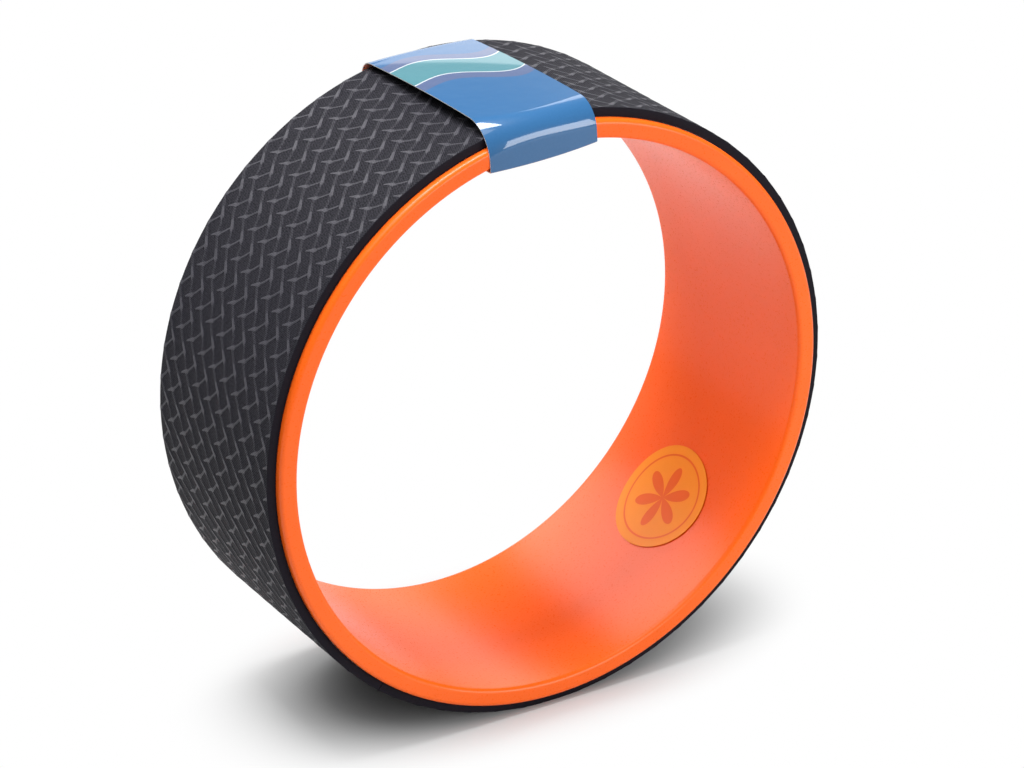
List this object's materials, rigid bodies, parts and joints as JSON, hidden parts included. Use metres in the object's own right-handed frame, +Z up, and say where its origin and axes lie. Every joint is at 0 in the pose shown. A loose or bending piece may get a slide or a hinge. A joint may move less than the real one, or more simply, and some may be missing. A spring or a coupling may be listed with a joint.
{
  "type": "yoga wheel",
  "caption": "Rigid plastic ring with a cushioned, textured tread bonded round it, for back stretches and balance poses, still wearing its loose card sales sleeve.",
  "frame": {"origin": "centre of the wheel, on its axis at mid-width", "axes": "+Z up with the wheel standing on its tread, Y along the wheel's axis, -Y the side that faces the viewer in the picture, where the bore is widest"},
  "size_m": [0.33, 0.1254, 0.3325],
  "materials": {
    "ring_plastic": "glossy moulded orange plastic",
    "bonding_film": "double-sided adhesive film",
    "tread_foam": "matt foamed elastomer with a woven-look texture",
    "badge_film": "satin golden film",
    "sleeve_card": "gloss-laminated blue card",
    "clear_tape": "clear packing tape"
  },
  "bodies": {
    "wheel": {"core_ring": "ring_plastic", "adhesive_film": "bonding_film", "tread_pad": "tread_foam", "inner_badge": "badge_film"},
    "sleeve": {"label_sleeve": "sleeve_card", "closing_tape": "clear_tape"}
  },
  "joints": [
    {"name": "sleeve_slide", "type": "hinge", "parent": "wheel", "child": "sleeve", "pos_m": [0, 0, 0], "axis": [0, 1, 0], "continuous": true}
  ]
}
